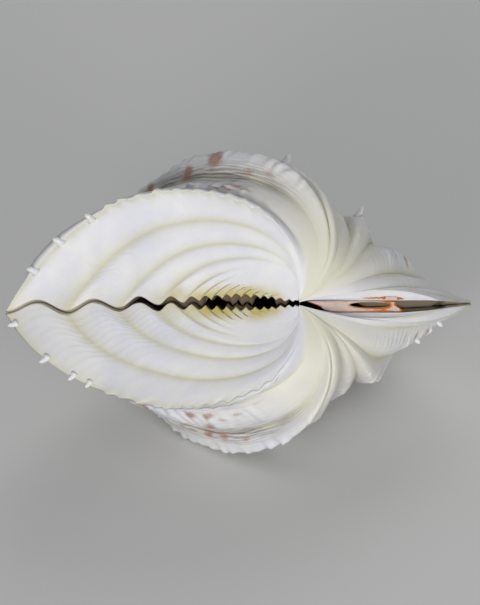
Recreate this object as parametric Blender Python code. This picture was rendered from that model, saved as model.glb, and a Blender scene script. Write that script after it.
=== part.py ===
"""China clam shell: the two closed valves of a porcelain clam and the ligament in their hinge.

The shell has its own frame, in millimetres from the beaks: X runs back along the hinge, Y is
square to the plane where the valves meet, and Z is up through the back of the animal. Each
valve is a fan of rib paths. A path is a cubic curve that leaves the beak, swells out and comes
home on the margin. The outer and the inner sheet are both drawn over that fan and joined at
the lip. Last, the whole shell is turned to lie on its left flank.
"""
import math

import bmesh
import bpy
import numpy as np
from mathutils import Euler, Vector

MM = 0.001

# Rib paths of the flank, from the ridge round the heart-shaped front face to the hinge end.
# Each has its margin point (x, z), its two curve handles (x, y, z) and its rib height.
RIB_PATHS = (
    ((-127, -38), (12, 52, 9), (-87, 70, -14), 0.0),
    ((-116, -62), (30, 47, 12), (-73, 77, -22), 1.4),
    ((-96, -92), (46, 50, 14), (-55, 109, -32), 2.0),
    ((-60, -121), (52, 41, 14), (-42, 112, -34), 2.2),
    ((-10, -129), (53, 32, 13), (-16, 82, -72), 2.4),
    ((34, -115), (50, 27, 10), (12, 62, -66), 3.2),
    ((62, -88), (44, 23, 7), (33, 38, -52), 3.4),
    ((73, -66), (38, 12, 4), (54, 17, -44), 1.6),
    ((76, -44), (32, 9, 1), (60, 13, -32), 0.2),
    ((63, -25), (22, 5, -2), (44, 8, -16), 0.0),
)
HINGE_END = len(RIB_PATHS) - 1
BEAK_AGAIN = HINGE_END + 1

# The valves differ a little, as the real pair does: share of the width, by rib path.
VALVE_WIDTH = {
    "right": ((0, 1.04), (2, 1.02), (3.5, 0.97), (5, 1.0), (6, 0.86), (7, 0.78), (8, 0.72), (9, 0.85)),
    "left": ((0, 0.95), (1.5, 0.93), (3, 0.97), (4, 0.93), (5.5, 1.04), (6.5, 0.87), (8, 0.95)),
}

# The front face inside the ridge is the ridge path shrunk towards the beak.
FACE_SIDE_POWERS = (1.25, 1.3)
FACE_DISH = 0.43

# Distance of each tooth of the right valve from the beak, along the front face's margin.
TEETH = (2.2, 5.6, 9.5, 12.9, 16.3, 20.4, 24.5, 28.8, 32.7, 37.4, 42.6, 49.5, 60.4, 77.2, 100, 127)

# How far a tooth reaches past the meeting line: by x along the face, and by rib width elsewhere.
FACE_TOOTH_REACH = ((-127, 2.4), (-100, 2.3), (-80, 2.1), (-60, 1.9), (-52, 1.5), (-45, 1.1), (0, 0.5))
TOOTH_SHARE = 0.16
TEETH_FADE = (6.5, 8)

# The face's ribs grow towards the teeth, from this place along the paths.
FACE_RIB_HEIGHT = 0.9
FACE_RIB_START = 0.45

# Ribs are round on top and meet in narrow grooves, and they grow with distance from the beak.
GROOVE_POWER = 1.6
RIB_HEIGHT_REACH = 60
RIB_GROWTH = 0.6

# The left valve's ribs lie between the right valve's, by half a rib at the margin.
LEFT_RIB_SHIFT = (-0.34, -0.16)

# Space between the valves and how far their meeting line strays, by x along the back.
FACE_GAP = ((-127, 1.2), (-112, 1.6), (-62, 1.4), (-45, 3.0), (-25, 5.6), (-12, 4.4), (-5, 2.6), (0, 2.6))
HINGE_GAP = ((0, 2.6), (15.8, 5.2), (46, 5.2), (56, 4.3), (67, 2.6), (76, 1.0))
FACE_STRAY = ((-127, -1.6), (-100, -1.6), (-80, -0.5), (-60, 0.0), (-25, 0.6), (0, 0.0))
HINGE_STRAY = ((0, 0.0), (15.8, -1.3), (46, -1.3), (67, -0.3), (76, 0.0))
MARGIN_GAP = 1.0

# Places along a path where the lip leaves the smooth sheet and where the ribs turn to the margin.
LIP_TURN = 0.66
EDGE_TURN = 0.8

WALL_AT_BEAK = 6.5
WALL_AT_MARGIN = 4.0
WALL_THINNED_BY = 0.8
HOLLOW_CENTRE = (-15, 0, -60)

# The ridge round the front face: height, width in paths, and where it rises and fades.
RIDGE_HEIGHT = 1.3
RIDGE_WIDTH = 0.1
RIDGE_RISE = (0.05, 0.3)
RIDGE_FADE = (0.9, 1.0)

# Blunt spines: path number and place along the path, by valve.
SPINES = {
    "right": ((3, 0.46), (5, 0.54), (0, 0.7), (0, 0.78), (0, 0.86)),
    "left": ((7, 0.7), (7, 0.93), (0, 0.7), (0, 0.78), (0, 0.86)),
}
SPINE_HEIGHT = 3.0

# Steps of the mesh: for each tooth, for each rib path of the flank, and along the paths.
SMALL_TOOTH_STEPS = 2
WIDE_TOOTH_STEPS = 4
FIRST_WIDE_TOOTH = 10
FLANK_STEPS = 6
SLOPE_STEPS = 4
HINGE_STEPS = 4
OUTER_ROWS = (0.05, 0.1, 0.16, 0.23, 0.3, 0.38, 0.46, 0.54, 0.62, 0.7, 0.78, 0.86, 0.93, 1.0)
INNER_ROWS = (0.1, 0.25, 0.4, 0.54, 0.68, 0.8, 0.91, 1.0)

# The ligament lies along the hinge line, between the lips.
LIGAMENT_START = 3.0
LIGAMENT_END = 49.0
LIGAMENT_DEPTH = 3.6
LIGAMENT_SINK = 2.4
LIGAMENT_CLEAR = 0.35
LIGAMENT_NOTCH = 2.5
LIGAMENT_POINTS = 12
SLIT_START = 25.0
SLIT_END = 41.5
SLIT_WIDTH = 1.9
SLIT_POINTS = 16

# How the shell lies: turns about its own X, Y and Z.
LIE_ROLL = 61.3
LIE_PITCH = 6.35
LIE_YAW = 0.0


def smooth_step(value, low, high):
    """Rise from 0 at low to 1 at high with level ends."""
    part = np.clip((value - low) / (high - low), 0, 1)
    return part * part * (3 - 2 * part)


def by_x(table, x):
    """Read a table of (place, value) pairs at each x, with straight lines between them."""
    xs, values = zip(*table)
    return np.interp(x, xs, values)


def spline(values, at):
    """Smooth curve through rows of values at 0, 1, 2 ..., read at each number in at."""
    slopes = np.gradient(values, axis=0)
    low = np.clip(np.floor(at).astype(int), 0, len(values) - 2)
    part = (at - low)[:, None]
    rest = 1 - part
    return (
        values[low] * (1 + 2 * part) * rest**2
        + values[low + 1] * (3 - 2 * part) * part**2
        + slopes[low] * part * rest**2
        - slopes[low + 1] * rest * part**2
    )


def handles(station):
    """Margin points and curve handles of the rib paths at the given stations."""
    table = np.array([(m[0], 0, m[1], *a, *b) for m, a, b, _ in RIB_PATHS], float)
    rows = spline(table, np.clip(station, 0, HINGE_END))
    margin, first, second = rows[:, 0:3], rows[:, 3:6], rows[:, 6:9]

    face = np.clip(1 + station, 0, 1)
    margin *= face[:, None]
    first *= np.stack([face, face ** FACE_SIDE_POWERS[0], face], 1)
    dish = 1 + FACE_DISH * (1 - face)
    second *= np.stack([face, face ** FACE_SIDE_POWERS[1], face * dish], 1)

    hinge = np.clip(BEAK_AGAIN - station, 0, 1)[:, None]
    return margin * hinge, first * hinge, second * hinge


def base_sheet(station, along, side):
    """Smooth sheet of one valve: one row of points for each rib path."""
    margin, first, second = (part[:, None] for part in handles(station))
    t = along[None, :, None]
    sheet = 3 * (1 - t) ** 2 * t * first + 3 * (1 - t) * t**2 * second + t**3 * margin
    sheet[:, :, 1] *= by_x(VALVE_WIDTH[side], station)[:, None]
    return sheet


def rib_phase(station, along, side):
    """Whole numbers on the crests of a valve's ribs, halves in the grooves between them."""
    crests = np.array((0.0,) + TEETH)
    tooth = np.interp((1 + station) * TEETH[-1], crests, np.arange(len(crests)) - len(TEETH))
    phase = np.where(station < 0, tooth, station)[:, None] * np.ones_like(along)
    if side == "right":
        return phase
    shift = LEFT_RIB_SHIFT[0] + LEFT_RIB_SHIFT[1] * along**3
    return phase + np.where(station[:, None] < 0, 0.5, shift)


def margin_line(station):
    """Half the space between the lips, and the y of the line midway between them."""
    margin = handles(station)[0]
    x = margin[:, 0]
    face = station < 0
    back = station > HINGE_END - 1
    half_gap = np.where(face, by_x(FACE_GAP, x), MARGIN_GAP) / 2
    half_gap = np.where(back, by_x(HINGE_GAP, x) / 2, half_gap)
    stray = np.where(face, by_x(FACE_STRAY, x), FACE_STRAY[0][1] * (1 - smooth_step(station, 0, 1)))
    stray = np.where(back, by_x(HINGE_STRAY, x), stray)

    wave = rib_phase(station, np.ones(1), "right")[:, 0]
    rib_width = np.linalg.norm(np.gradient(margin, station, axis=0), axis=1)
    at_ridge = FACE_TOOTH_REACH[0][1]
    flank_reach = at_ridge + (TOOTH_SHARE * rib_width - at_ridge) * smooth_step(station, 0, 1)
    reach = np.where(face, by_x(FACE_TOOTH_REACH, x), flank_reach)
    reach *= 1 - smooth_step(station, *TEETH_FADE)
    return half_gap, stray - reach * np.cos(2 * math.pi * wave)


def rib_height(station, along, side, sheet):
    """How far the ribs and the ridge stand out from the smooth sheet."""
    phase = rib_phase(station, along, side)
    from_crest = 2 * np.abs(phase - np.round(phase))
    profile = 1 - 2 * from_crest**GROOVE_POWER

    heights = np.array([[path[3]] for path in RIB_PATHS])
    flank = spline(heights, np.clip(station, 0, HINGE_END))
    size = (np.linalg.norm(sheet, axis=2) / RIB_HEIGHT_REACH) ** RIB_GROWTH
    tooth_zone = smooth_step(along, FACE_RIB_START, 1)[None, :] * np.minimum(1 + station, 1)[:, None]
    height = np.where(station[:, None] < 0, FACE_RIB_HEIGHT * tooth_zone, flank * size)

    ridge = np.exp(-((station / RIDGE_WIDTH) ** 2))[:, None] * smooth_step(along, *RIDGE_RISE)
    return height * profile + RIDGE_HEIGHT * ridge * (1 - smooth_step(along, *RIDGE_FADE))


def outward(sheet, station, along):
    """Unit vectors square to the sheet, turning into the meeting plane at the margin."""
    by_station = np.gradient(sheet, station, axis=0)
    by_along = np.gradient(sheet, along, axis=1)
    normal = np.cross(by_station, by_along)
    normal /= np.maximum(np.linalg.norm(normal, axis=2, keepdims=True), 1e-9)
    centre = np.array(HOLLOW_CENTRE, float)
    edge = np.cross(by_station[:, -1], (0, 1, 0))
    edge *= np.sign(np.sum(edge * (sheet[:, -1] - centre), axis=1))[:, None]
    edge /= np.maximum(np.linalg.norm(edge, axis=1, keepdims=True), 1e-9)
    turn = smooth_step(along, EDGE_TURN, 1)[None, :, None]
    direction = normal * (1 - turn) + edge[:, None] * turn
    return direction / np.linalg.norm(direction, axis=2, keepdims=True)


def valve_points(station, side):
    """Outer and inner points of one valve, and its outer and inner point at the beak."""
    rows = np.array(OUTER_ROWS)
    sheet = base_sheet(station, rows, side)
    height = rib_height(station, rows, side, sheet)
    for path, place in SPINES[side]:
        column = np.argmin(np.abs(station - path))
        row = np.argmin(np.abs(rows - place))
        height[column, row] += SPINE_HEIGHT
    outer = sheet + outward(sheet, station, rows) * height[:, :, None]

    inner_rows = np.array(INNER_ROWS)
    inner = base_sheet(station, inner_rows, side)
    centre = np.array(HOLLOW_CENTRE, float)
    inward = centre - inner
    inward /= np.linalg.norm(inward, axis=2, keepdims=True)
    thinning = smooth_step(inner_rows, 0, WALL_THINNED_BY)
    wall = WALL_AT_BEAK + (WALL_AT_MARGIN - WALL_AT_BEAK) * thinning
    inner = inner + inward * wall[None, :, None]

    half_gap, middle = margin_line(station)
    sign = 1 if side == "right" else -1
    lift = half_gap + sign * middle
    for points, places in ((outer, rows), (inner, inner_rows)):
        rise = smooth_step(places, LIP_TURN, 1)[None, :]
        points[:, :, 1] += half_gap[:, None] * (1 - rise) + lift[:, None] * rise
        points[:, -1, 1] = lift

    beak = np.array((0, half_gap[0], 0))
    root = beak + WALL_AT_BEAK * centre / np.linalg.norm(centre)
    for points in (outer, inner, beak[None, None], root[None, None]):
        points[..., 1] *= sign
    return outer, inner, beak, root


def station_list():
    """Stations of the rib paths: crests and grooves of the teeth, then steps round the flank."""
    crests = np.array(TEETH[1:])
    small_teeth = np.arange(0, FIRST_WIDE_TOOTH, 1 / SMALL_TOOTH_STEPS)
    wide_teeth = np.arange(FIRST_WIDE_TOOTH, len(crests) - 1, 1 / WIDE_TOOTH_STEPS)
    places = np.concatenate([small_teeth, wide_teeth])
    face = np.interp(places, np.arange(len(crests)), crests) / TEETH[-1] - 1
    flank = np.arange(0, (HINGE_END - 2) * FLANK_STEPS) / FLANK_STEPS
    slope = HINGE_END - 2 + np.arange(0, 2 * SLOPE_STEPS) / SLOPE_STEPS
    hinge = HINGE_END + np.arange(0, HINGE_STEPS) / HINGE_STEPS
    return np.concatenate([face, flank, slope, hinge])


def add_valve(name, side, material, collection):
    """Join the outer sheet, the lip and the inner sheet in one closed mesh."""
    station = station_list()
    outer, inner, beak, root = valve_points(station, side)
    mesh = bmesh.new()

    def grid(points, pole):
        pole_vertex = mesh.verts.new(Vector(pole) * MM)
        rows = [[mesh.verts.new(Vector(point) * MM) for point in path] for path in points]
        for left, right in zip(rows, rows[1:]):
            mesh.faces.new((pole_vertex, left[0], right[0]))
            for low in range(len(left) - 1):
                mesh.faces.new((left[low], left[low + 1], right[low + 1], right[low]))
        for path in (rows[0], rows[-1]):
            for low in range(len(path) - 1):
                mesh.faces.new((pole_vertex, path[low], path[low + 1]))
        return pole_vertex, [path[-1] for path in rows]

    outer_pole, outer_edge = grid(outer, beak)
    inner_pole, inner_edge = grid(inner, root)
    outside = [outer_pole] + outer_edge
    inside = [inner_pole] + inner_edge
    for index in range(len(outside)):
        after = (index + 1) % len(outside)
        mesh.faces.new((outside[index], outside[after], inside[after], inside[index]))
    bmesh.ops.recalc_face_normals(mesh, faces=mesh.faces)

    data = bpy.data.meshes.new(name)
    mesh.to_mesh(data)
    mesh.free()
    data.materials.append(material)
    valve = bpy.data.objects.new(name, data)
    collection.objects.link(valve)
    return valve


def add_ligament(material, collection):
    """Flat strip with a slit, cut to the space between the lips and laid along the hinge."""
    end = Vector((RIB_PATHS[HINGE_END][0][0], 0, RIB_PATHS[HINGE_END][0][1]))
    slope = math.atan2(end.z, end.x)
    lean = math.cos(slope)

    places = np.linspace(LIGAMENT_START, LIGAMENT_END, LIGAMENT_POINTS)
    middle = by_x(HINGE_STRAY, places * lean)
    half = by_x(HINGE_GAP, places * lean) / 2 - LIGAMENT_CLEAR
    upper = list(zip(places, middle + half))
    lower = list(zip(places, middle - half))[::-1]
    notch = [(LIGAMENT_END - LIGAMENT_NOTCH, middle[-1])]

    turns = np.linspace(0, 2 * math.pi, SLIT_POINTS, endpoint=False)
    centre = (SLIT_START + SLIT_END) / 2
    slit = [
        (centre + (SLIT_END - SLIT_START) / 2 * math.cos(a), middle[-1] + SLIT_WIDTH / 2 * math.sin(a))
        for a in turns
    ]

    curve = bpy.data.curves.new("ligament", "CURVE")
    curve.dimensions = "2D"
    curve.fill_mode = "BOTH"
    curve.extrude = LIGAMENT_DEPTH / 2 * MM
    for outline in (upper + notch + lower, slit):
        line = curve.splines.new("POLY")
        line.points.add(len(outline) - 1)
        for point, (x, y) in zip(line.points, outline):
            point.co = (x * MM, y * MM, 0, 1)
        line.use_cyclic_u = True
    curve.materials.append(material)
    ligament = bpy.data.objects.new("ligament", curve)
    collection.objects.link(ligament)
    ligament.location = Vector((math.sin(slope), 0, -math.cos(slope))) * LIGAMENT_SINK * MM
    ligament.rotation_euler = (0, -slope, 0)
    return ligament


def add_material(name, colour, roughness):
    """Plain finish of one part."""
    material = bpy.data.materials.new(name)
    material.use_nodes = True
    shader = material.node_tree.nodes["Principled BSDF"]
    shader.inputs["Base Color"].default_value = (*colour, 1)
    shader.inputs["Roughness"].default_value = roughness
    shader.inputs["Metallic"].default_value = 0
    return material


def lay_down(parts, collection):
    """Turn the shell as it lies, and bring the middle of its base to the origin."""
    pose = bpy.data.objects.new("resting_pose", None)
    collection.objects.link(pose)
    turn = Euler((math.radians(a) for a in (LIE_ROLL, LIE_PITCH, LIE_YAW)), "XYZ")
    corners = []
    bpy.context.view_layer.update()
    for part in parts:
        part.parent = pose
        evaluated = part.evaluated_get(bpy.context.evaluated_depsgraph_get())
        mesh = evaluated.to_mesh()
        corners += [turn.to_matrix() @ (part.matrix_basis @ v.co) for v in mesh.vertices]
        evaluated.to_mesh_clear()
    low = Vector(min(c[axis] for c in corners) for axis in range(3))
    high = Vector(max(c[axis] for c in corners) for axis in range(3))
    pose.rotation_euler = turn
    pose.location = (-(low.x + high.x) / 2, -(low.y + high.y) / 2, -low.z)


def main():
    for item in list(bpy.data.objects):
        bpy.data.objects.remove(item)
    collection = bpy.data.collections.new("china_clam_shell")
    bpy.context.scene.collection.children.link(collection)

    porcelain = add_material("porcelain_shell", (0.72, 0.71, 0.68), 0.45)
    horn = add_material("dry_ligament", (0.62, 0.36, 0.24), 0.6)
    parts = [
        add_valve("right_valve", "right", porcelain, collection),
        add_valve("left_valve", "left", porcelain, collection),
        add_ligament(horn, collection),
    ]
    lay_down(parts, collection)


main()
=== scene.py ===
import math

import bpy
import numpy as np
from mathutils import Euler, Matrix, Vector


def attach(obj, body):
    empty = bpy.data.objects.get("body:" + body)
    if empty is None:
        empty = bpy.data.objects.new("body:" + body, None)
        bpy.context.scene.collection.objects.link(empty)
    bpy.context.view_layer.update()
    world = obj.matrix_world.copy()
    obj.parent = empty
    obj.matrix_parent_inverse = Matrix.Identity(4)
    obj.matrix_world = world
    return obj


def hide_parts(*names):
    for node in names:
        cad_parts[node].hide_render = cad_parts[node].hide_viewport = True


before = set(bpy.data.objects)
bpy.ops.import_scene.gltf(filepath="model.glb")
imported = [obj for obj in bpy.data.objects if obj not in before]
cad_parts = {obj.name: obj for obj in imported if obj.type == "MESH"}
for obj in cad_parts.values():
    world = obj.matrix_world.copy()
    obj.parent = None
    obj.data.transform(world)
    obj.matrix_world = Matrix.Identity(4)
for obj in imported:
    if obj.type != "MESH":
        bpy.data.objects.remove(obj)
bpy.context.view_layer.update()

print("frame loaded:", ", ".join(sorted(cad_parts)))

mm = 0.001

# The shell is worked out in its own frame, in mm from the beaks: X back along the hinge,
# Y square to the plane where the valves meet, Z up through the back. This turns it as it lies.
restingPose = {
    "rollDegrees": 61.3,
    "pitchDegrees": 6.35,
    "beakPlace": (27.477, -49.923, 73.784),
}
poseTurn = Euler((math.radians(restingPose["rollDegrees"]), math.radians(restingPose["pitchDegrees"]), 0))
poseMatrix = np.array(poseTurn.to_matrix())


def toRow(points):
    # row point = turn x shell point + place of the beaks, in metres; the last millimetre above the
    # floor is pressed to 1 / (2 - z), so that nothing reaches below it
    places = points @ poseMatrix.T + np.array(restingPose["beakPlace"])
    z = places[..., 2]
    places[..., 2] = np.where(z < 1, 1 / (2 - np.minimum(z, 1)), z)
    return places * mm


# Numbers and noise


def smoothStep(value, low, high):
    # 3p^2 - 2p^3, where p runs from 0 at low to 1 at high
    part = np.clip((value - low) / (high - low), 0, 1)
    return part * part * (3 - 2 * part)


def bell(value, middle, width):
    # exp(-((value - middle) / width)^2)
    return np.exp(-(((value - middle) / width) ** 2))


def scatter(index, seed):
    # one number from 0 to 1 for each whole number: the fraction of a large sine
    wave = np.sin(index * 12.9898 + seed * 78.233) * 43758.5453
    return wave - np.floor(wave)


def softNoise(points, size, seed, octaves=3):
    # sum of sines in seeded directions, each octave half the size and half the strength
    draw = np.random.default_rng(seed)
    total = np.zeros(points.shape[:-1])
    for octave in range(octaves):
        for _ in range(5):
            way = draw.normal(size=points.shape[-1])
            way *= 2 * math.pi * 2**octave / (size * np.linalg.norm(way))
            total += np.sin(points @ way + draw.uniform(0, 2 * math.pi)) / (2.2 * 2**octave)
    return total / 1.6


def byTable(table, x):
    # straight lines between the table's (x, value) pairs
    xs, values = zip(*table)
    return np.interp(x, xs, values)


def splineRows(rows, at):
    # cubic Hermite curve through the rows, with slopes from their neighbours
    slopes = np.gradient(rows, axis=0)
    low = np.clip(np.floor(at).astype(int), 0, len(rows) - 2)
    part = (at - low)[:, None]
    rest = 1 - part
    return (
        rows[low] * (1 + 2 * part) * rest**2
        + rows[low + 1] * (3 - 2 * part) * part**2
        + slopes[low] * part * rest**2
        - slopes[low + 1] * rest * part**2
    )


# The valves' smooth form: the solids' paths, with a gap along the face that differs a little

shellForm = {
    # margin point (x, z), curve handles (x, y, z) and rib height, from the face's ridge to the hinge end
    "ribPaths": (
        ((-127, -38), (12, 52, 9), (-87, 70, -14), 0.0),
        ((-116, -62), (30, 47, 12), (-73, 77, -22), 1.4),
        ((-96, -92), (46, 50, 14), (-55, 109, -32), 2.0),
        ((-60, -121), (52, 41, 14), (-42, 112, -34), 2.2),
        ((-10, -129), (53, 32, 13), (-16, 82, -72), 2.4),
        ((34, -115), (50, 27, 10), (12, 62, -66), 3.2),
        ((62, -88), (44, 23, 7), (33, 38, -52), 3.4),
        ((73, -66), (38, 12, 4), (54, 17, -44), 1.6),
        ((76, -44), (32, 9, 1), (60, 13, -32), 0.2),
        ((63, -25), (22, 5, -2), (44, 8, -16), 0.0),
    ),
    # share of the width of each valve, by station
    "valveWidth": {
        "right": ((0, 1.04), (2, 1.02), (3.5, 0.97), (5, 1.0), (6, 0.86), (7, 0.78), (8, 0.72), (9, 0.85)),
        "left": ((0, 0.95), (1.5, 0.93), (3, 0.97), (4, 0.93), (5.5, 1.04), (6.5, 0.87), (8, 0.95)),
    },
    "faceSidePowers": (1.25, 1.3),
    "faceDish": 0.43,
    # distance of each tooth of the right valve from the beak
    "teeth": (2.2, 5.6, 9.5, 12.9, 16.3, 20.4, 24.5, 28.8, 32.7, 37.4, 42.6, 49.5, 60.4, 77.2, 100, 127),
    "faceToothReach": ((-127, 2.4), (-100, 2.3), (-80, 2.1), (-60, 1.9), (-52, 1.5), (-45, 1.1), (0, 0.5)),
    "toothShare": 0.16,
    "teethFade": (6.5, 8),
    "leftRibShift": (-0.34, -0.16),
    "faceGap": (
        (-127, 1.2), (-112, 1.6), (-76, 1.3), (-70, 2.3), (-60, 2.3), (-52, 2.4), (-45, 3.2), (-25, 5.6),
        (-12, 4.4), (-5, 2.6), (0, 2.6),
    ),
    "hingeGap": ((0, 2.6), (15.8, 5.2), (46, 5.2), (56, 4.3), (67, 2.6), (76, 1.0)),
    "faceStray": ((-127, -1.6), (-100, -1.6), (-80, -0.5), (-60, 0.0), (-25, 0.6), (0, 0.0)),
    "hingeStray": ((0, 0.0), (15.8, -1.3), (46, -1.3), (67, -0.3), (76, 0.0)),
    "marginGap": 1.0,
    "lipTurn": 0.66,
    "slideReach": 3.0,
    "edgeTurn": 0.8,
    "wallAtBeak": 6.5,
    "wallAtMargin": 4.0,
    "wallThinnedBy": 0.8,
    "hollowCentre": (-15, 0, -60),
}
hingeEnd = len(shellForm["ribPaths"]) - 1
beakAgain = hingeEnd + 1
toothPlaces = np.array(shellForm["teeth"], float)


def curveHandles(station):
    # handles of the path at each station; inside the face the ridge path shrinks to the beak
    table = np.array([(m[0], 0, m[1], *a, *b) for m, a, b, _ in shellForm["ribPaths"]], float)
    rows = splineRows(table, np.clip(station, 0, hingeEnd))
    margin, first, second = rows[:, 0:3], rows[:, 3:6], rows[:, 6:9]
    face = np.clip(1 + station, 0, 1)
    firstPower, secondPower = shellForm["faceSidePowers"]
    margin = margin * face[:, None]
    first = first * np.stack([face, face**firstPower, face], 1)
    dish = 1 + shellForm["faceDish"] * (1 - face)
    second = second * np.stack([face, face**secondPower, face * dish], 1)
    hinge = np.clip(beakAgain - station, 0, 1)[:, None]
    return margin * hinge, first * hinge, second * hinge


def smoothSheet(station, along, side):
    # cubic Bezier 3(1-t)^2 t A + 3(1-t) t^2 B + t^3 M from the beak to the margin
    margin, first, second = (part[:, None] for part in curveHandles(station))
    t = along[None, :, None]
    sheet = 3 * (1 - t) ** 2 * t * first + 3 * (1 - t) * t**2 * second + t**3 * margin
    sheet[:, :, 1] *= byTable(shellForm["valveWidth"][side], station)[:, None]
    return sheet


def runAlong(points):
    # distance from the beak along one line of points
    return np.concatenate([[0], np.cumsum(np.linalg.norm(np.diff(points, axis=0), axis=1))])


def evenAlong(count, station):
    # values of t that cut one rib path into nearly equal lengths, and their distances from the beak
    fine = np.linspace(0, 1, 2000)
    length = runAlong(smoothSheet(np.array([float(station)]), fine, "right")[0])
    run = length[-1] * np.linspace(0, 1, count + 1)[1:]
    return np.interp(run, length, fine), run


def toothPhase(station):
    # whole numbers on the tips of the right valve's teeth along the face, and the station elsewhere
    crests = np.append(0.0, toothPlaces)
    tooth = np.interp((1 + station) * crests[-1], crests, np.arange(len(crests)) - len(toothPlaces))
    return np.where(station < 0, tooth, station)


def ribPhase(station, along, side):
    # whole on rib crests, half in grooves; face ribs run out between the right valve's teeth
    phase = toothPhase(station)[:, None] + 0 * along[None, :]
    shift = 0 * along
    if side == "left":
        first, more = shellForm["leftRibShift"]
        shift = first + more * along**3
    return phase + np.where(station[:, None] < 0, 0.5, shift[None, :])


def marginLine(station, side):
    # half the gap, and y of one valve's lip: half gap + stray of the meeting line - tooth wave
    margin = curveHandles(station)[0]
    x = margin[:, 0]
    face = station < 0
    back = station > hingeEnd - 1
    gap = np.where(face, byTable(shellForm["faceGap"], x), shellForm["marginGap"])
    gap = np.where(back, byTable(shellForm["hingeGap"], x), gap)
    frontStray = shellForm["faceStray"][0][1] * (1 - smoothStep(station, 0, 1))
    stray = np.where(face, byTable(shellForm["faceStray"], x), frontStray)
    stray = np.where(back, byTable(shellForm["hingeStray"], x), stray)

    ribWidth = np.linalg.norm(np.gradient(margin, station, axis=0), axis=1)
    atRidge = shellForm["faceToothReach"][0][1]
    flankReach = atRidge + (shellForm["toothShare"] * ribWidth - atRidge) * smoothStep(station, 0, 1)
    reach = np.where(face, byTable(shellForm["faceToothReach"], x), flankReach)
    reach = reach * (1 - smoothStep(station, *shellForm["teethFade"]))
    own = toothPhase(station) + (0 if side == "right" else 0.5)
    roundWave = np.cos(2 * math.pi * own)
    cusp = 2 * (1 - 2 * np.abs(own - np.round(own))) ** 1.6 - 1
    sharp = smoothStep(gap, 2.0, 4.5) * face
    wave = roundWave * (1 - sharp) + cusp * sharp
    sign = 1 if side == "right" else -1
    return gap / 2, gap / 2 + sign * stray - reach * wave


# Ribs, threads, growth lines and the ridge

relief = {
    "groovePower": 1.9,
    "faceGroovePower": 1.7,
    "heightReach": 60,
    "heightGrowth": 0.6,
    # the ribs are smooth round the beak and reach their full height this far from it
    "ribsFrom": (12, 58),
    # how deep the groove at each half station is, as a share of the rib height
    "grooveDepth": (
        (0, 1.2), (0.5, 2.0), (1, 1.2), (1.5, 0.7), (2, 1.2), (2.5, 2.0), (3, 1.2), (4, 0.9),
        (5, 0.65), (9, 0.6),
    ),
    "faceRib": 0.28,
    # where the face's ribs begin along the path, by the share of the way from the beak to the ridge
    "faceRibStart": ((0, 0.82), (0.28, 0.76), (0.42, 0.5), (0.5, 0.16), (1, 0.1)),
    "faceRibRise": 0.3,
    # small growth scales on the ribs' crests
    "scaleHeight": 2.8,
    "scaleStep": 5.4,
    "scaleCrestWidth": 0.42,
    "scaleFrom": (34, 62),
    "threads": 4,
    "threadHeight": 0.42,
    "threadFrom": (48, 95),
    "growthStep": 7.5,
    "growthHeight": 0.34,
    "growthShare": ((-1, 0.3), (0, 0.3), (0.2, 1.0), (4, 1.0), (5.5, 1.5), (7, 1.5), (9, 0.6)),
    "ridgeHeight": 1.35,
    "ridgeFaceWidth": 0.085,
    "ridgeFlankWidth": 0.12,
    "ridgeSpread": 3.0,
    "ridgeAtBeak": 1.7,
    # how far ahead of the beak each of the ridge's sawteeth stands
    "ridgeTeeth": (11, 17.2, 23.6, 30, 37, 43.4, 48, 52.5, 57, 61, 69, 76.5, 82),
    "ridgeToothLength": 4.4,
    "ridgeToothHeight": 1.5,
    "unevenness": 0.3,
}


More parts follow.
